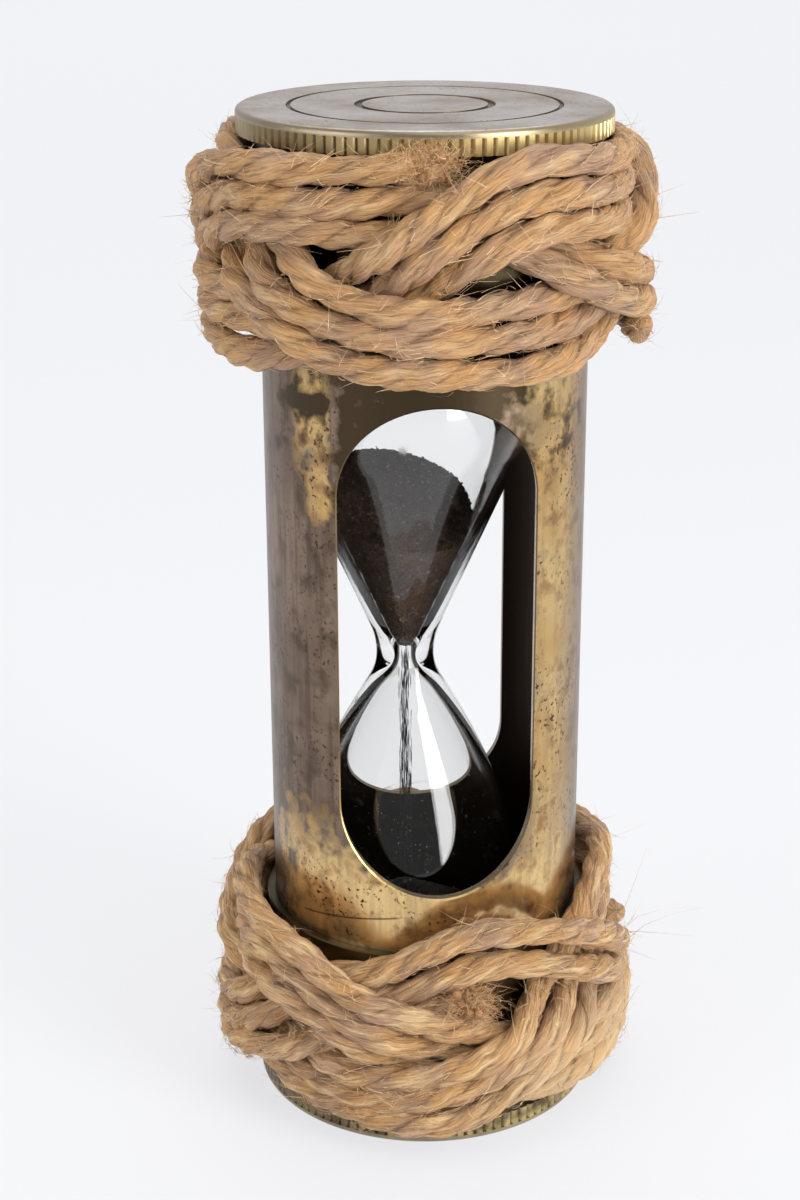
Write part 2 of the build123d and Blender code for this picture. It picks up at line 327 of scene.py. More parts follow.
black_sand, sand_tree, sand_surface = new_material("black_sand")
sand_place = own_place(sand_tree)
sand_grains = shader_node(sand_tree, "ShaderNodeTexVoronoi", {"Vector": sand_place, "Scale": 2600.0})
sand_shade = shader_node(sand_tree, "ShaderNodeSeparateColor", {"Color": sand_grains.outputs["Color"]})
pale_grain = between(sand_tree, sand_shade.outputs["Red"], 0.94, 1.0)
sand_colour = blend(sand_tree, pale_grain, (0.020, 0.016, 0.013, 1), (0.24, 0.19, 0.17, 1))
sand_height = axes_of(sand_tree, sand_place)["Z"]
# Above the waist the sand is browner and lighter: partly dust that clings, partly painted reflection of the
# brass inside and the lit floor.
dust_and_reflection_share = between(sand_tree, sand_height, 0.068, 0.074, 0.0, 0.22)
sand_colour = blend(sand_tree, dust_and_reflection_share, sand_colour, (0.36, 0.21, 0.14, 1))
sand_bump = bumps(sand_tree, 0.8, 0.0002, sand_grains.outputs["Distance"], invert=True)
set_inputs(sand_tree, sand_surface, {"Base Color": sand_colour, "Roughness": 0.7, "Normal": sand_bump})


def apply_modifier(piece, kind, **settings):
    """Adds a modifier to a piece and applies it."""
    bpy.ops.object.select_all(action="DESELECT")
    piece.select_set(True)
    bpy.context.view_layer.objects.active = piece
    modifier = piece.modifiers.new(kind.lower(), kind)
    for name, value in settings.items():
        setattr(modifier, name, value)
    bpy.ops.object.modifier_apply(modifier=modifier.name)


grain_width = 0.0006
skin_step = 0.00026
skin_depth = 0.0003
grain_relief = bpy.data.textures.new("grain_relief", "VORONOI")
grain_relief.noise_scale = grain_width


def loose_sand(name, node):
    """A heap in the shape of its solid, with its skin broken up into grains."""
    heap = bpy.data.objects.new(name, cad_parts[node].data.copy())
    scene.collection.objects.link(heap)
    heap.data.materials.clear()
    apply_modifier(heap, "WELD", merge_threshold=0.00001)
    apply_modifier(heap, "REMESH", mode="VOXEL", voxel_size=skin_step)
    relief = {"texture": grain_relief, "texture_coords": "LOCAL", "strength": skin_depth, "mid_level": 1.0}
    apply_modifier(heap, "DISPLACE", **relief)
    heap.data.materials.append(black_sand)
    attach(heap, "case")
    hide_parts(node)
    return heap


def mesh_piece(name, points, faces, material):
    """A smooth mesh object from points and faces."""
    mesh = bpy.data.meshes.new(name)
    mesh.from_pydata(points.tolist(), [], faces)
    mesh.polygons.foreach_set("use_smooth", np.ones(len(faces), bool))
    mesh.materials.append(material)
    piece = bpy.data.objects.new(name, mesh)
    scene.collection.objects.link(piece)
    return piece


def scattered_grains(name, places, sizes, material):
    """Many small round grains in one piece, each with its own place and half sizes along the axes."""
    bpy.ops.object.select_all(action="DESELECT")
    bpy.ops.mesh.primitive_ico_sphere_add(subdivisions=1, radius=1.0)
    grain = bpy.context.object
    corners = np.array([vertex.co for vertex in grain.data.vertices])
    sides = np.array([face.vertices for face in grain.data.polygons])
    bpy.data.objects.remove(grain)
    points = places[:, None] + sizes[:, None] * corners[None]
    faces = sides[None] + (np.arange(len(places)) * len(corners))[:, None, None]
    return mesh_piece(name, points.reshape(-1, 3), faces.reshape(-1, 3).tolist(), material)


def drawn_sizes(draws, sizes, shape):
    """Random sizes: the least, and up to so much more."""
    least, more = sizes
    return least + more * draws.random(shape)


sand_above = loose_sand("sand_above", "upper_sand")
loose_sand("sand_below", "lower_sand")

slope_count = 900
slope_grain = (0.00015, 0.00015)
slope_draws = np.random.default_rng(12)
slope_points = np.array([vertex.co for vertex in sand_above.data.vertices if vertex.normal.z > 0.5])
slope_places = slope_points[slope_draws.integers(0, len(slope_points), slope_count)]
slope_sizes = np.repeat(drawn_sizes(slope_draws, slope_grain, (slope_count, 1)), 3, axis=1)
slope_grains = scattered_grains("slope_grains", slope_places, slope_sizes, black_sand)
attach(slope_grains, "case")

streak_count = 460
streak_least = 0.001
streak_more = 0.006
streak_radii = (0.00003, 0.00003)
stream_low, stream_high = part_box("sand_stream")
stream_radius = (stream_high.x - stream_low.x) / 2
stream_height = stream_high.z - stream_low.z
stream_draws = np.random.default_rng(11)
fallen = stream_draws.random(streak_count)
streak_length = streak_least + streak_more * stream_draws.random(streak_count) * (0.3 + 0.7 * fallen)
stream_spread = stream_radius * (0.34 + 0.36 * fallen)
streak_out = stream_draws.normal(0, 1, (streak_count, 2)) * stream_spread[:, None]
streak_out = np.clip(streak_out, -stream_radius, stream_radius)
streak_rise = stream_high.z - streak_length / 2 - fallen * (stream_height - streak_length)
streak_places = np.column_stack([streak_out + np.array(glass_centre[:2]), streak_rise])
streak_radius = drawn_sizes(stream_draws, streak_radii, streak_count)
streak_sizes = np.column_stack([streak_radius, streak_radius, streak_length / 2])
falling_sand = scattered_grains("falling_sand", streak_places, streak_sizes, black_sand)
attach(falling_sand, "case")
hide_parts("sand_stream")

# Heights of the dust are from the waist.
dust_count = 260
dust_top = -0.016
dust_drop = 0.019
dust_side = 1.1
dust_gap = 0.0001
dust_least = 0.00003
dust_more = 0.00006
lower_bulb_start = -0.014
pale_dust, dust_tree, dust_surface = new_material("pale_dust")
dust_shade = noise(dust_tree, own_place(dust_tree), 700.0)
dust_colour = blend(dust_tree, dust_shade, (0.30, 0.28, 0.27, 1), (0.85, 0.83, 0.80, 1))
set_inputs(dust_tree, dust_surface, {"Base Color": dust_colour, "Roughness": 0.9})
dust_draws = np.random.default_rng(13)
inner_side = np.array(glass_outline(glass_wall + dust_gap, *inner_waist))
inner_low = inner_side[inner_side[:, 1] < lower_bulb_start]
dust_rise = dust_top - dust_drop * dust_draws.random(dust_count)
dust_out = np.interp(dust_rise, inner_low[:, 1], inner_low[:, 0])
dust_angle = dust_draws.uniform(-dust_side, dust_side, dust_count)
dust_places = np.column_stack([dust_out * np.sin(dust_angle), -dust_out * np.cos(dust_angle), dust_rise])
dust_sizes = np.repeat(dust_least + dust_more * dust_draws.random((dust_count, 1)) ** 2, 3, axis=1)
glass_dust = scattered_grains("glass_dust", dust_places + np.array(glass_centre), dust_sizes, pale_dust)
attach(glass_dust, "case")


# The two packing pads: dark pressed felt, cut to the tube's bore and dished where a bulb's end sits.
# They lie loose between the glass and the cap plates.
pad_glass_gap = 0.0003
pad_edge = 0.0008
felt, felt_tree, felt_surface = new_material("pressed_felt")
felt_fibres = noise(felt_tree, own_place(felt_tree), 900.0, 5.0)
felt_colour = blend(felt_tree, felt_fibres, (0.012, 0.010, 0.009, 1), (0.045, 0.038, 0.032, 1))
felt_bump = bumps(felt_tree, 0.6, 0.0003, felt_fibres)
set_inputs(felt_tree, felt_surface, {"Base Color": felt_colour, "Roughness": 0.95, "Normal": felt_bump})


def packing_pad(name, node, body):
    """A felt disc with soft edges and a dish pressed by the glass."""
    low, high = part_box(node)
    bpy.ops.object.select_all(action="DESELECT")
    bpy.ops.mesh.primitive_cylinder_add(
        vertices=96,
        radius=(high.x - low.x) / 2,
        depth=high.z - low.z,
        location=(0, 0, (high.z + low.z) / 2),
    )
    pad = bpy.context.object
    pad.name = name
    bpy.ops.object.transform_apply(location=True, rotation=True, scale=True)
    apply_modifier(pad, "BEVEL", width=pad_edge, segments=3, limit_method="ANGLE")
    press = turned_shell("pad_press", glass_outline(-pad_glass_gap, *outer_waist), glass_centre, False)
    apply_modifier(pad, "BOOLEAN", object=press, operation="DIFFERENCE", solver="EXACT")
    bpy.data.objects.remove(press)
    pad.data.materials.append(felt)
    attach(pad, body)
    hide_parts(node)


packing_pad("bottom_felt_pad", "bottom_packing_pad", "bottom_pad")
packing_pad("top_felt_pad", "top_packing_pad", "top_pad")


# The brass tube: drawn brass gone brown with age, with bare golden patches, dark pits and rub marks,
# a black inside, and a bright line where the two windows were cut. Some of the gold is painted highlight
# where the lamps reflect, some of the dark is painted shade under the top rope, and a pool of painted
# light lies on the inside wall at the right.
def plus(tree, first, second):
    return arithmetic(tree, "ADD", first, second)


def minus(tree, first, second):
    return arithmetic(tree, "SUBTRACT", first, second)


def without_sign(tree, value):
    return arithmetic(tree, "ABSOLUTE", value)


def tarnish_group():
    """Cloudy tarnish, small flecks, clustered pits and fine drawn marks along the piece."""
    group = bpy.data.node_groups.new("tarnish", "ShaderNodeTree")
    group.interface.new_socket("Cloud Size", in_out="INPUT", socket_type="NodeSocketFloat")
    for name in ("Clouds", "Flecks", "Pits", "Marks"):
        group.interface.new_socket(name, in_out="OUTPUT", socket_type="NodeSocketFloat")
    given = shader_node(group, "NodeGroupInput")
    place = own_place(group)
    spots = between(group, noise(group, place, 1500.0), 0.59, 0.66)
    clusters = between(group, noise(group, place, 95.0, 3.0), 0.44, 0.60)
    drawn = shader_node(group, "ShaderNodeMapping", {"Vector": place, "Scale": (1.0, 1.0, 0.06)})
    outcome = {
        "Clouds": noise(group, place, given.outputs["Cloud Size"], 8.0, 0.65),
        "Flecks": noise(group, place, 320.0, 5.0),
        "Pits": times(group, spots, clusters),
        "Marks": noise(group, drawn.outputs["Vector"], 900.0, 5.0),
    }
    shader_node(group, "NodeGroupOutput", outcome)
    return group


def round_place(tree):
    """Where a point of a turned piece is: angle from the front, height, distance from the axis, and how
    far its face looks straight out from the axis."""
    coordinates = shader_node(tree, "ShaderNodeTexCoord").outputs
    place = axes_of(tree, coordinates["Object"])
    facing = axes_of(tree, coordinates["Normal"])
    right = place["X"]
    back = place["Y"]
    angle = arithmetic(tree, "ARCTAN2", right, times(tree, back, -1.0))
    away = arithmetic(tree, "SQRT", plus(tree, times(tree, right, right), times(tree, back, back)))
    look = plus(tree, times(tree, right, facing["X"]), times(tree, back, facing["Y"]))
    outward = without_sign(tree, arithmetic(tree, "DIVIDE", look, away))
    return angle, place["Z"], away, outward


tarnish = tarnish_group()
aged_brass, tube_tree, tube_surface = new_material("aged_brass")
tube_tarnish = shader_node(tube_tree, "ShaderNodeGroup", {"Cloud Size": 55.0}, node_tree=tarnish).outputs
tube_angle, tube_height, tube_away, tube_outward = round_place(tube_tree)
tube_broken = plus(
    tube_tree,
    between(tube_tree, tube_tarnish["Clouds"], 0.30, 0.70, -0.6, 0.6),
    between(tube_tree, tube_tarnish["Flecks"], 0.30, 0.70, -0.45, 0.45),
)

# Each patch: the angle of its middle and half its width in degrees, then its height and half its length.
# Golden patches: bare brass, with painted highlight at the top left and on the right, where lamps reflect.
gold_and_highlight_patches = (
    (-46, 9, 0.1115, 0.0075),
    (-44, 5, 0.100, 0.004),
    (-50, 26, 0.037, 0.010),
    (2, 55, 0.036, 0.0085),
    (46, 12, 0.080, 0.048),
    (45, 24, 0.116, 0.008),
)
# Dark patches: tarnish, with painted shade just under the top rope.
dark_and_shade_patches = (
    (-47, 12, 0.1125, 0.0016),
    (-3, 44, 0.1165, 0.0105),
    (-32, 7, 0.110, 0.011),
    (-45, 12, 0.122, 0.004),
)
inside_light_patch = (65, 40, 0.110, 0.013)


def wear_and_light_patch(middle_angle, half_angle, middle_height, half_length):
    """A share that is 1 inside a patch of the tube's wall and 0 outside, with a broken edge."""
    tree = tube_tree
    aside = without_sign(tree, minus(tree, tube_angle, radians(middle_angle)))
    aside = arithmetic(tree, "DIVIDE", aside, radians(half_angle))
    above = without_sign(tree, minus(tree, tube_height, middle_height))
    above = arithmetic(tree, "DIVIDE", above, half_length)
    cubes = plus(tree, *[arithmetic(tree, "POWER", part, 3.0) for part in (aside, above)])
    edge = minus(tree, tube_broken, arithmetic(tree, "POWER", cubes, 1 / 3))
    return between(tree, edge, -1.2, -0.7)


# Painted highlight: the tube's right side turns gold where the lamps reflect.
gold_and_highlight_share = between(tube_tree, tube_angle, radians(22), radians(42), 0.0, 0.75)
for patch in gold_and_highlight_patches:
    gold_and_highlight_share = larger(tube_tree, gold_and_highlight_share, wear_and_light_patch(*patch))
rubbed = between(tube_tree, tube_tarnish["Marks"], 0.32, 0.58, 0.70, 1.0)
rubbed = times(tube_tree, rubbed, between(tube_tree, tube_angle, radians(54), radians(68), 1.0, 0.25))
gold_and_highlight_share = times(tube_tree, gold_and_highlight_share, rubbed)
toward_back = between(tube_tree, tube_angle, radians(100), radians(165), 1.0, 0.0)
gold_and_highlight_share = times(tube_tree, gold_and_highlight_share, toward_back)

scratch_height = 0.0373
scratch_slope = 0.0037
scratch_middle = radians(-35)
scratch_rise = times(tube_tree, tube_angle, scratch_slope)
scratch_off = minus(tube_tree, minus(tube_tree, tube_height, scratch_height), scratch_rise)
scratch_span = without_sign(tube_tree, minus(tube_tree, tube_angle, scratch_middle))
dark_and_shade_share = times(
    tube_tree,
    between(tube_tree, without_sign(tube_tree, scratch_off), 0.00022, 0.00006, 0.0, 0.8),
    between(tube_tree, scratch_span, radians(22), radians(19)),
)
for patch in dark_and_shade_patches:
    dark_and_shade_share = larger(tube_tree, dark_and_shade_share, wear_and_light_patch(*patch))

brown_share = between(tube_tree, tube_tarnish["Clouds"], 0.40, 0.62)
tube_colour = blend(tube_tree, brown_share, (0.245, 0.177, 0.132, 1), (0.15, 0.105, 0.076, 1))
fleck_share = between(tube_tree, tube_tarnish["Flecks"], 0.50, 0.68, 0.0, 0.7)
tube_colour = blend(tube_tree, fleck_share, tube_colour, (0.065, 0.044, 0.028, 1))
streak_share = between(tube_tree, tube_tarnish["Marks"], 0.46, 0.62, 0.0, 0.55)
tube_colour = blend(tube_tree, streak_share, tube_colour, (0.075, 0.052, 0.038, 1))
gold_colour = blend(tube_tree, brown_share, (0.62, 0.45, 0.205, 1), (0.52, 0.32, 0.12, 1))
low_share = between(tube_tree, tube_height, 0.050, 0.040, 0.0, 0.8)
gold_colour = blend(tube_tree, low_share, gold_colour, (0.80, 0.58, 0.27, 1))
gold_flecks = between(tube_tree, tube_tarnish["Flecks"], 0.51, 0.66, 0.0, 0.75)
gold_colour = blend(tube_tree, gold_flecks, gold_colour, (0.30, 0.16, 0.07, 1))
tube_colour = blend(tube_tree, gold_and_highlight_share, tube_colour, gold_colour)
tube_colour = blend(tube_tree, dark_and_shade_share, tube_colour, (0.055, 0.038, 0.020, 1))
tube_colour = blend(tube_tree, tube_tarnish["Pits"], tube_colour, (0.07, 0.034, 0.018, 1))

cut_edge = between(tube_tree, tube_outward, 0.75, 0.45)
edge_side = between(tube_tree, without_sign(tube_tree, tube_angle), 1.4, 1.7)
edge_share = larger(tube_tree, between(tube_tree, tube_height, 0.046, 0.062), edge_side)
edge_share = larger(tube_tree, edge_share, between(tube_tree, tube_angle, -0.36, -0.22))
edge_colour = blend(tube_tree, edge_share, (0.60, 0.42, 0.16, 1), (0.16, 0.105, 0.05, 1))
tube_colour = blend(tube_tree, cut_edge, tube_colour, edge_colour)
tube_inside = between(tube_tree, tube_away, 0.0223, 0.0221)
tube_inside = times(tube_tree, tube_inside, minus(tube_tree, 1.0, cut_edge))
# Painted light: a copper glow on the inside wall at the right.
inside_lit = wear_and_light_patch(*inside_light_patch)
inside_colour = blend(tube_tree, inside_lit, (0.038, 0.023, 0.014, 1), (0.30, 0.18, 0.10, 1))
tube_colour = blend(tube_tree, tube_inside, tube_colour, inside_colour)

tube_rough = between(tube_tree, gold_and_highlight_share, 0.0, 1.0, 0.36, 0.24)
low_polish = between(tube_tree, tube_height, 0.050, 0.036, 0.0, 0.10)
low_polish = times(tube_tree, low_polish, between(tube_tree, tube_angle, -0.3, 0.1))
low_polish = times(tube_tree, low_polish, toward_back)
tube_rough = minus(tube_tree, tube_rough, low_polish)
tube_rough = larger(tube_tree, tube_rough, times(tube_tree, tube_inside, 0.4))
tube_look = {
    "Base Color": tube_colour,
    "Metallic": 0.9,
    "Roughness": tube_rough,
    "Normal": bumps(tube_tree, 0.25, 0.0001, tube_tarnish["Marks"]),
}
set_inputs(tube_tree, tube_surface, tube_look)


def dress(node, material):
    """Gives the solid's own mesh a new material."""
    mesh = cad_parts[node].data
    mesh.materials.clear()
    mesh.materials.append(material)


dress("body_tube", aged_brass)


# The caps: a knurled brass plate with two cut rings on its face, soldered to a thin sleeve that pushes
# over the tube's end. The faces have dulled to a pinkish grey, and the knurl's lands are rubbed bright.
# The sleeves are dark, partly tarnish and partly painted shade. The top one, hidden under its rope,
# is painted nearly black as shade.
plate_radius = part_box("top_cap_plate")[1].x
timer_height = cad_box[1][2]
ring_reach = 0.0205
land_depth = 0.0003
dull_brass, cap_tree, cap_surface = new_material("dull_brass")
cap_tarnish = shader_node(cap_tree, "ShaderNodeGroup", {"Cloud Size": 70.0}, node_tree=tarnish).outputs
cap_angle, cap_height, cap_away, cap_outward = round_place(cap_tree)
face_clouds = between(cap_tree, cap_tarnish["Clouds"], 0.40, 0.60)
face_colour = blend(cap_tree, face_clouds, (0.47, 0.425, 0.40, 1), (0.30, 0.235, 0.195, 1))
face_colour = blend(cap_tree, cap_tarnish["Pits"], face_colour, (0.16, 0.11, 0.08, 1))
middle_offset = without_sign(cap_tree, minus(cap_tree, cap_height, timer_height / 2))
face_depth = minus(cap_tree, timer_height / 2, middle_offset)
ring_share = between(cap_tree, face_depth, 0.00005, 0.00020)
ring_share = times(cap_tree, ring_share, between(cap_tree, cap_away, ring_reach + 0.001, ring_reach))
face_colour = blend(cap_tree, ring_share, face_colour, (0.05, 0.036, 0.026, 1))
land_share = between(cap_tree, cap_away, plate_radius - land_depth, plate_radius - 0.00005)
knurl_colour = blend(cap_tree, land_share, (0.52, 0.39, 0.16, 1), (0.66, 0.51, 0.23, 1))
# The knurl is darker round its left side.
knurl_left_dark = between(cap_tree, cap_angle, 0.3, -0.6, 0.0, 0.85)
knurl_left_dark = times(cap_tree, knurl_left_dark, between(cap_tree, cap_angle, radians(-170), radians(-110)))
knurl_colour = blend(cap_tree, knurl_left_dark, knurl_colour, (0.15, 0.108, 0.055, 1))
# The bottom plate's knurl is darker in flecks.
low_dark_flecks = between(cap_tree, cap_tarnish["Flecks"], 0.40, 0.60, 0.1, 0.9)
low_dark_share = times(cap_tree, between(cap_tree, cap_height, 0.010, 0.006), low_dark_flecks)
knurl_colour = blend(cap_tree, low_dark_share, knurl_colour, (0.075, 0.052, 0.026, 1))
rim_share = between(cap_tree, face_depth, 0.0011, 0.0009, 0.0, 0.7)
knurl_colour = blend(cap_tree, rim_share, knurl_colour, (0.34, 0.285, 0.21, 1))
face_share = between(cap_tree, cap_outward, 0.75, 0.25)
cap_look = {
    "Base Color": blend(cap_tree, face_share, knurl_colour, face_colour),
    "Metallic": 0.9,
    "Roughness": between(cap_tree, cap_tarnish["Clouds"], 0.35, 0.65, 0.26, 0.42),
}
set_inputs(cap_tree, cap_surface, cap_look)

sleeve_brass, sleeve_tree, sleeve_surface = new_material("sleeve_brass")
sleeve_tarnish = shader_node(sleeve_tree, "ShaderNodeGroup", {"Cloud Size": 90.0}, node_tree=tarnish)
sleeve_clouds = sleeve_tarnish.outputs["Clouds"]
# The sleeves' dark colour is tarnish and painted shade, for the gap between the rope and the plate.
sleeve_colour = blend(sleeve_tree, sleeve_clouds, (0.16, 0.115, 0.05, 1), (0.045, 0.030, 0.014, 1))
_, sleeve_height, _, sleeve_outward = round_place(sleeve_tree)
sleeve_rim = between(sleeve_tree, sleeve_outward, 0.75, 0.25, 0.0, 0.55)
sleeve_colour = blend(sleeve_tree, sleeve_rim, sleeve_colour, (0.022, 0.016, 0.008, 1))
# Painted shade: the top sleeve, under its rope, turns nearly black.
top_sleeve_shade = between(sleeve_tree, sleeve_height, 0.09, 0.11, 0.0, 0.85)
sleeve_colour = blend(sleeve_tree, top_sleeve_shade, sleeve_colour, (0.020, 0.013, 0.007, 1))
set_inputs(sleeve_tree, sleeve_surface, {"Base Color": sleeve_colour, "Metallic": 0.9, "Roughness": 0.28})
for cap in ("bottom", "top"):
    dress(cap + "_cap_plate", dull_brass)
    dress(cap + "_cap_sleeve", sleeve_brass)


# The ropes: hairy natural-fibre rope of three strands, laid left-handed. Each is tied round its cap as a
# three-lead, four-bight Turk's head and followed round three times. The bottom one has worked loose and
# sunk at the front, and the top one is drawn up to its plate there.
leads = 3
bights = 4
passes = 3
lane_step = 0.00405
side_step = 0.002025
bight_rise = 2.25 * lane_step
knot_radius = 0.028525
wave_flatness = 0.10
lane_lead = 12.0
side_change = 13.0
over_ends = 140.0
lane_change = 60.0
rope_end_gap = 6.0
slack_side = 40.0
slack_lane_loss = 0.4
line_points = 12000


def ease(share):
    """A share from 0 to 1 that starts and stops softly."""
    share = np.clip(share, 0.0, 1.0)
    return share * share * (3 - 2 * share)


def lane_at(turned):
    """The lane, from -1 to 1, that the rope follows after turning so many degrees."""
    one_pass = 360 * leads
    number = np.minimum(turned // one_pass, passes - 1)
    changed = ease((turned - number * one_pass - one_pass + lane_change) / lane_change)
    return number - 1 + np.where(number < passes - 1, changed, 0)


def side_at(phase):
    """Whether the rope runs under (-1) or over (1) at a phase of its wave."""
    phase = phase % 180
    turn_round = 180 - over_ends
    middle = 2 * ease((phase - 90 + side_change) / (2 * side_change)) - 1
    late = 1 - 2 * ease((phase - over_ends) / (2 * turn_round))
    early = 1 - 2 * ease((phase + turn_round) / (2 * turn_round))
    return np.where(phase > over_ends, late, np.where(phase < turn_round, early, middle))


def knot_line(start, slack, order):
    """Points of the rope's centre line about the knot's own middle. Order -1 starts in the top lane."""
    turned = np.linspace(0, 360 * leads * passes - lane_change - rope_end_gap, line_points)
    turn = start + turned
    lane = order * lane_at(turned)
    wave = np.radians(turn) * bights / leads
    share = 1 - wave_flatness
    height = bight_rise * (np.cos(wave) - wave_flatness * np.cos(3 * wave)) / share
    climb = bight_rise * (3 * wave_flatness * np.sin(3 * wave) - np.sin(wave)) / share * bights / leads
    slope = np.hypot(climb, knot_radius)
    angle = np.radians(turn) - lane * lane_step * climb / slope / knot_radius
    radius = knot_radius + side_step * side_at(np.degrees(wave) - lane_lead * lane * np.sin(wave))
    bight_share = ((1 - np.cos(wave)) / 2) ** 2
    side_share = ((1 + np.cos(np.radians(turn - slack_side))) / 2) ** 2
    loose = bight_share * side_share * (1 - slack_lane_loss * (lane + 1))
    height = height + lane * lane_step * knot_radius / slope - slack * loose
    return np.stack([radius * np.sin(angle), -radius * np.cos(angle), height], axis=1)


def even_points(line, spacing):
    """The line's points again, at an even spacing along it, with the length so far."""
    along = np.concatenate([[0], np.cumsum(np.linalg.norm(np.diff(line, axis=0), axis=1))])
    even = np.linspace(0, along[-1], int(along[-1] / spacing))
    return even, np.stack([np.interp(even, along, line[:, axis]) for axis in range(3)], axis=1)


def slow_noise(draws, along, shortest, count=7):
    """A smooth random line along the rope, about -1 to 1."""
    total = np.zeros_like(along)
    for _ in range(count):
        wavelength = shortest * (1 + 3 * draws.random())
        total += np.sin(2 * pi * along / wavelength + 2 * pi * draws.random())
    return total / np.sqrt(count)


def unit(vectors):
    """The vectors at length 1."""
    return vectors / np.linalg.norm(vectors, axis=-1, keepdims=True)


def rope_frame(points):
    """The rope's heading, its way out from the cap and the way across it, at every point."""
    heading = unit(np.gradient(points, axis=0))
    out = points * np.array([1.0, 1.0, 0.0])
    out = unit(out - heading * np.sum(out * heading, axis=1, keepdims=True))
    return heading, out, np.cross(heading, out)


def point_values(piece, name, values):
    """Gives each point of a piece a value that its material can read by name."""
    layer = piece.data.attributes.new(name, "FLOAT", "POINT")
    layer.data.foreach_set("value", np.asarray(values, np.float32).ravel())


def ring_faces(rings, sides):
    """Faces that join each ring of points to the next."""
    ring = np.arange(rings - 1)[:, None] * sides
    side = np.arange(sides)[None, :]
    after = (side + 1) % sides
    corners = [ring + side, ring + after, ring + sides + after, ring + sides + side]
    return np.stack(corners, axis=2).reshape(-1, 4)


strands = 3
lay_length = 0.017
rope_radius = 0.00215
rope_sides = 30
ring_spacing = 0.0008
groove_depth = 0.0006
groove_softness = 0.03
end_round = 0.0012
wander_out = 0.00016
wander_across = 0.00042
wander_length = 0.02
uneven_twist = 0.6
uneven_width = 0.07
uneven_skin = 0.00008
plate_margin = 0.0001


def rope_skin(points, along, draws):
    """Rings of points round the rope's line, lobed by its strands, and the twist of each ring."""
    _, out, across = rope_frame(points)
    points = points + out * (wander_out * slow_noise(draws, along, wander_length))[:, None]
    points = points + across * (wander_across * slow_noise(draws, along, wander_length))[:, None]
    angles = pi + 2 * pi * np.arange(rope_sides) / rope_sides
    twist = 2 * pi * along / lay_length + uneven_twist * slow_noise(draws, along, 0.03)
    crown = np.sqrt(np.sin(strands / 2 * (angles[None] + twist[:, None])) ** 2 + groove_softness)
    width = rope_radius * (1 + uneven_width * slow_noise(draws, along, 0.007))[:, None]
    width = width - groove_depth * (1 - crown)
    for side in range(rope_sides):
        width[:, side] += uneven_skin * slow_noise(draws, along, 0.003)
    to_end = np.minimum(along, along[-1] - along)
    width *= np.sqrt(1 - (1 - np.clip(to_end / end_round, 0.03, 1)) ** 2)[:, None]
    rim = np.cos(angles)[None, :, None] * out[:, None] + np.sin(angles)[None, :, None] * across[:, None]
    return points[:, None] + width[:, :, None] * rim, twist


def map_rope(rope, along):
    """Lays a flat map on the rope: the share of the way round, and the length in circumferences."""
    corners = np.zeros(len(rope.data.loops), int)
    rope.data.loops.foreach_get("vertex_index", corners)
    side = corners % rope_sides
    last_side = (side == 0) & np.isin(np.arange(len(corners)) % 4, (1, 2))
    round_share = np.where(last_side, 1.0, side / rope_sides)
    length_share = along[corners // rope_sides] / (2 * pi * rope_radius)
    layer = rope.data.uv_layers.new(name="rope_map")
    layer.data.foreach_set("uv", np.stack([round_share, length_share], axis=1).astype(np.float32).ravel())


def laid_rope(name, points, along, draws, plate_face, flip):
    """One lobed tube with rounded cut ends, flattened where it meets the plate."""
    skin, twist = rope_skin(points, along, draws)
    pressed = np.hypot(skin[:, :, 0], skin[:, :, 1]) < plate_radius + plate_margin
    skin[pressed, 2] = flip * np.minimum(flip * skin[pressed, 2], flip * plate_face)
    rings = len(points)
    faces = ring_faces(rings, rope_sides).tolist()
    faces.append(list(range(rope_sides))[::-1])
    faces.append(list(range((rings - 1) * rope_sides, rings * rope_sides)))
    rope = mesh_piece(name, skin.reshape(-1, 3), faces, hairy_rope)
    point_values(rope, "lay_angle", np.repeat(twist + pi, rope_sides))
    map_rope(rope, along)
    return rope


hairy_rope, rope_tree, rope_surface = new_material("hairy_rope")
rope_place = own_place(rope_tree)
rope_spot = axes_of(rope_tree, rope_place)
rope_map = shader_node(rope_tree, "ShaderNodeUVMap", uv_map="rope_map").outputs["UV"]
rope_round = axes_of(rope_tree, rope_map)
fibre_stray = noise(rope_tree, rope_place, 200.0)
fibre_lean = plus(
    rope_tree,
    times(rope_tree, rope_round["Y"], 0.25),
    between(rope_tree, fibre_stray, 0.25, 0.75, -0.03, 0.03),
)
fibre_side = plus(rope_tree, rope_round["X"], fibre_lean)


def fibre_lines(round_count, length_count):
    """Fine streaks along the rope: so many round it, and so many in its circumference's length."""
    streak_axes = {
        "X": times(rope_tree, fibre_side, round_count),
        "Y": times(rope_tree, rope_round["Y"], length_count),
    }
    streak_place = shader_node(rope_tree, "ShaderNodeCombineXYZ", streak_axes).outputs["Vector"]
    return noise(rope_tree, streak_place, 1.0, 4.0, 0.65)


fine_fibres = fibre_lines(56.0, 2.6)
coarse_fibres = fibre_lines(11.0, 1.6)
rope_patches = between(rope_tree, noise(rope_tree, rope_place, 130.0, 4.0), 0.42, 0.62)
rope_colour = blend(rope_tree, rope_patches, (0.68, 0.365, 0.135, 1), (0.52, 0.305, 0.180, 1))
fibre_shade = between(rope_tree, fine_fibres, 0.52, 0.34, 0.0, 0.85)
rope_colour = blend(rope_tree, fibre_shade, rope_colour, (0.22, 0.10, 0.035, 1))
# The bottom knot's lower right is paler: frayed fibres, and painted light from the lamp at the right.
right_side_share = between(rope_tree, rope_spot["X"], 0.002, 0.020, 0.0, 0.6)
fray_and_light_share = times(rope_tree, between(rope_tree, rope_spot["Z"], 0.024, 0.012), right_side_share)
rope_colour = blend(rope_tree, fray_and_light_share, rope_colour, (0.92, 0.66, 0.36, 1))
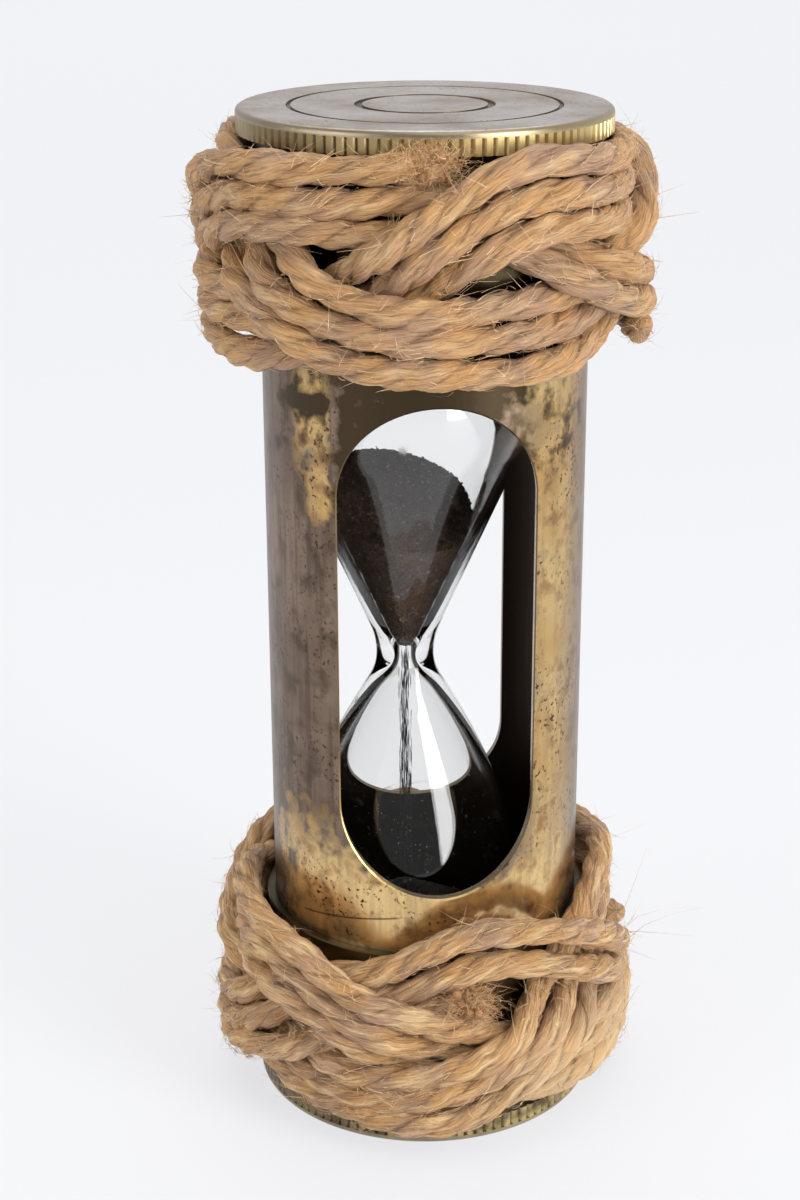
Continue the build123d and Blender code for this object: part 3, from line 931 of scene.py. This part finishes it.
# Pale streaks: pale fibres and painted highlight, stronger lower down as painted light on the bottom knot.
paleness_and_light_by_height = between(rope_tree, rope_spot["Z"], 0.09, 0.05, 0.5, 0.95)
pale_fibre_and_highlight_share = times(rope_tree, between(rope_tree, coarse_fibres, 0.50, 0.66), paleness_and_light_by_height)
rope_colour = blend(rope_tree, pale_fibre_and_highlight_share, rope_colour, (0.95, 0.68, 0.36, 1))
lay_angle = shader_node(rope_tree, "ShaderNodeAttribute", attribute_name="lay_angle").outputs["Fac"]
strand_phase = plus(rope_tree, lay_angle, times(rope_tree, rope_round["X"], 2 * pi))
strand_rise = arithmetic(rope_tree, "SINE", times(rope_tree, strand_phase, strands / 2))
# Painted shade in the creases between strands.
crease_shade_width = between(rope_tree, fibre_stray, 0.35, 0.65, 0.15, 0.60)
crease_shade_share = between(rope_tree, without_sign(rope_tree, strand_rise), crease_shade_width, 0.0)
crease_shade_share = times(rope_tree, crease_shade_share, between(rope_tree, coarse_fibres, 0.60, 0.40, 0.0, 0.8))
rope_relief = plus(rope_tree, fine_fibres, times(rope_tree, coarse_fibres, 1.6))
rope_look = {
    "Base Color": blend(rope_tree, crease_shade_share, rope_colour, (0.13, 0.062, 0.024, 1)),
    "Roughness": 0.52,
    "Sheen Weight": 0.08,
    "Normal": bumps(rope_tree, 1.0, 0.0007, rope_relief),
}
set_inputs(rope_tree, rope_surface, rope_look)

loose_fibre, hair_tree, hair_surface = new_material("loose_fibre")
hair_shade = shader_node(hair_tree, "ShaderNodeAttribute", attribute_name="paleness").outputs["Fac"]
hair_colour = blend(hair_tree, hair_shade, (0.34, 0.17, 0.065, 1), (0.94, 0.70, 0.42, 1))
hair_frayed = shader_node(hair_tree, "ShaderNodeAttribute", attribute_name="frayed").outputs["Fac"]
frayed_share = times(hair_tree, hair_frayed, 0.75)
hair_colour = blend(hair_tree, frayed_share, hair_colour, (0.68, 0.37, 0.13, 1))
set_inputs(hair_tree, hair_surface, {"Base Color": hair_colour, "Roughness": 0.6})


def hair_mesh(name, roots, ways, bends, lengths, thickness, frayed):
    """Many fine tapering hairs, each bent from its root along its way."""
    rings = 4
    sides = 3
    steps = np.linspace(0, 1, rings)
    count = len(roots)
    course = ways[:, None] * steps[None, :, None] + bends[:, None] * (steps**2)[None, :, None]
    spine = roots[:, None] + lengths[:, None, None] * course
    first = unit(np.cross(ways, np.array([0.31, 0.52, 0.79])))
    second = unit(np.cross(ways, first))
    taper = thickness[:, None] * (1 - 0.8 * steps)[None]
    points = np.zeros((count, rings, sides, 3))
    for side in range(sides):
        angle = 2 * pi * side / sides
        rim = cos(angle) * first + sin(angle) * second
        points[:, :, side] = spine + rim[:, None] * taper[:, :, None]
    one = ring_faces(rings, sides)
    faces = (one[None] + (np.arange(count) * rings * sides)[:, None, None]).reshape(-1, 4)
    hairs = mesh_piece(name, points.reshape(-1, 3), faces.tolist(), loose_fibre)
    point_values(hairs, "frayed", np.repeat(frayed, rings * sides))
    point_values(hairs, "paleness", np.repeat((np.arange(count) * 0.618 % 1.0) ** 0.6, rings * sides))
    return hairs


fuzz_count = 6000
stray_count = 30
wisp_count = 110
wisp_hairs = 12
stray_length = (0.003, 0.004)
hair_length = (0.0012, 0.0026)
stray_thickness = 0.00005
hair_thickness = (0.000034, 0.000034)
tuft_thickness = (0.000035, 0.00003)
hair_sink = 0.0002
wisp_scatter = 0.0003
hair_margin = 0.0003
deepest_hang = -0.0014


def rope_hairs(name, points, draws, tufts):
    """Loose fibres: a fuzz that hugs the rope, matted wisps, a few long strays, and frayed tufts."""
    heading, out, across = rope_frame(points)
    others = fuzz_count + stray_count
    wisp_total = wisp_count * wisp_hairs
    count = others + wisp_total
    stray = (np.arange(count) >= fuzz_count) & (np.arange(count) < others)
    wisp = np.arange(count) >= others
    wisp_points = np.repeat(draws.integers(0, len(points), wisp_count), wisp_hairs)
    wisp_sides = np.repeat(draws.normal(0, 0.8, wisp_count), wisp_hairs)
    wisp_sides += draws.normal(0, 0.12, wisp_total)
    wisp_turns = np.repeat(draws.uniform(-pi, pi, wisp_count), wisp_hairs)
    wisp_turns += draws.normal(0, 0.35, wisp_total)
    chosen = np.concatenate([draws.integers(0, len(points), others), wisp_points])
    spread = np.concatenate([draws.normal(0, 0.9, others), wisp_sides])
    turn = np.concatenate([draws.normal(0, 0.7, others) + pi * draws.integers(0, 2, others), wisp_turns])
    away = np.cos(spread)[:, None] * out[chosen] + np.sin(spread)[:, None] * across[chosen]
    around = np.cross(heading[chosen], away)
    flat = np.cos(turn)[:, None] * heading[chosen] + np.sin(turn)[:, None] * around
    roots = points[chosen] + away * (rope_radius - hair_sink)
    roots = roots + draws.normal(0, wisp_scatter, (count, 3)) * wisp[:, None]
    lift = np.where(stray, 0.7, np.where(wisp, 0.1, 0.25) + 0.3 * draws.random(count))[:, None]
    ways = unit(flat + lift * away)
    hug = np.where(stray, 0.1, 0.45)[:, None]
    bends = 0.40 * draws.normal(0, 1, (count, 3)) - hug * away
    stray_lengths = drawn_sizes(draws, stray_length, count)
    lengths = np.where(stray, stray_lengths, drawn_sizes(draws, hair_length, count))
    thickness = np.where(stray, stray_thickness, drawn_sizes(draws, hair_thickness, count))
    frayed = np.where(wisp, 0.5, 0.0)
    for tuft in tufts:
        size = tuft["count"]
        middle = points[tuft["end"]] + np.array(tuft["shift"])
        tuft_roots = middle + draws.normal(0, 1, (size, 3)) * np.array(tuft["spread"])
        tuft_ways = unit(np.array(tuft["aim"]) + tuft["splay"] * draws.normal(0, 1, (size, 3)))
        roots = np.concatenate([roots, tuft_roots])
        ways = np.concatenate([ways, tuft_ways])
        bends = np.concatenate([bends, 0.55 * draws.normal(0, 1, (size, 3))])
        lengths = np.concatenate([lengths, tuft["reach"] * (0.4 + 0.6 * draws.random(size))])
        thickness = np.concatenate([thickness, drawn_sizes(draws, tuft_thickness, size)])
        frayed = np.concatenate([frayed, draws.random(size)])
    rise = lengths * (ways + bends)[:, 2]
    tips = roots[:, 2] + rise
    kept = (tips > hair_margin) & (tips < timer_height - hair_margin) & (rise > deepest_hang)
    return hair_mesh(name, *[part[kept] for part in (roots, ways, bends, lengths, thickness, frayed)])


lump_count = 60
lump_size = (0.0004, 0.0005)
lump_margin = 0.002


def frayed_lumps(name, points, draws, tuft):
    """The matted core of a frayed rope end."""
    middle = points[tuft["end"]] + np.array(tuft["shift"])
    places = middle + draws.normal(0, 0.8, (lump_count, 3)) * np.array(tuft["spread"])
    places[:, 2] = np.clip(places[:, 2], lump_margin, timer_height - lump_margin)
    sizes = drawn_sizes(draws, lump_size, (lump_count, 3))
    return scattered_grains(name, places, sizes, loose_fibre)


pull_width = radians(22)


def rope_knot(place, start, slack, order, turn, flip, middle, pull_angle, pull_rise, seed, cut_back, tufts):
    """The knot's rope and hairs, turned, set at its height on the cap and pulled up or down in front."""
    draws = np.random.default_rng(seed)
    line = knot_line(start, slack, order) * np.array([1.0, flip, flip])
    angle = radians(turn)
    spun = np.array([[cos(angle), -sin(angle), 0], [sin(angle), cos(angle), 0], [0, 0, 1]])
    line = line @ spun.T + np.array([0, 0, middle])
    aside = (np.arctan2(line[:, 0], -line[:, 1]) - radians(pull_angle)) / pull_width
    rise = (line[:, 2] - line[:, 2].min()) / np.ptp(line[:, 2])
    line[:, 2] += pull_rise * rise * np.exp(-(aside**2))
    along, points = even_points(line, ring_spacing)
    kept = (along >= cut_back[0]) & (along <= along[-1] - cut_back[1])
    along = along[kept] - along[kept][0]
    points = points[kept]
    plate_low, plate_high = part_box(place + "_cap_plate")
    plate_face = plate_low.z if flip > 0 else plate_high.z
    rope = laid_rope(place + "_knot_rope", points, along, draws, plate_face, flip)
    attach(rope, place + "_cap")
    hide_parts(place + "_rope_knot")
    hairs = rope_hairs(place + "_knot_hairs", points, draws, tufts)
    lumps = frayed_lumps(place + "_frayed_end", points, draws, tufts[0])
    for piece in (hairs, lumps):
        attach(piece, place + "_cap")


knot_low, knot_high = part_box("top_rope_knot")
top_knot_middle = (knot_low.z + knot_high.z) / 2
bottom_knot_middle = timer_height - top_knot_middle
top_knot_lift = 0.001
bottom_knot_lift = 0.0006
hidden_cut = 0.007

# A tuft's shift is from the rope's end to its middle. Its spread is that of the hairs' roots.
top_end = dict(
    end=-1, shift=(-0.0026, -0.0006, -0.0003), spread=(0.0022, 0.0010, 0.0012),
    aim=(0.0, -0.3, 0.4), splay=0.7, count=2000, reach=0.0024,
)
top_start = dict(
    end=0, shift=(0.0, 0.0, 0.0), spread=(0.0010, 0.0010, 0.0010),
    aim=(0.0, -0.6, -0.6), splay=0.5, count=60, reach=0.0030,
)
bottom_start = dict(
    end=0, shift=(-0.0008, -0.0004, 0.0), spread=(0.0018, 0.0010, 0.0015),
    aim=(0.55, -0.5, -0.15), splay=0.6, count=1800, reach=0.0025,
)
bottom_end = dict(
    end=-1, shift=(0.0, -0.006, 0.001), spread=(0.0010, 0.0010, 0.0010),
    aim=(0.45, -0.2, 0.8), splay=0.4, count=7, reach=0.0095,
)
rope_knot(
    "top",
    start=907.0,
    slack=0.0,
    order=1,
    turn=-122.0,
    flip=1.0,
    middle=top_knot_middle + top_knot_lift,
    pull_angle=14,
    pull_rise=0.0026,
    seed=21,
    cut_back=(hidden_cut, 0.0),
    tufts=(top_end, top_start),
)
rope_knot(
    "bottom",
    start=413.25,
    slack=0.0045,
    order=-1,
    turn=-118.0,
    flip=-1.0,
    middle=bottom_knot_middle + bottom_knot_lift,
    pull_angle=-21,
    pull_rise=-0.0057,
    seed=22,
    cut_back=(0.0, hidden_cut),
    tufts=(bottom_start, bottom_end),
)
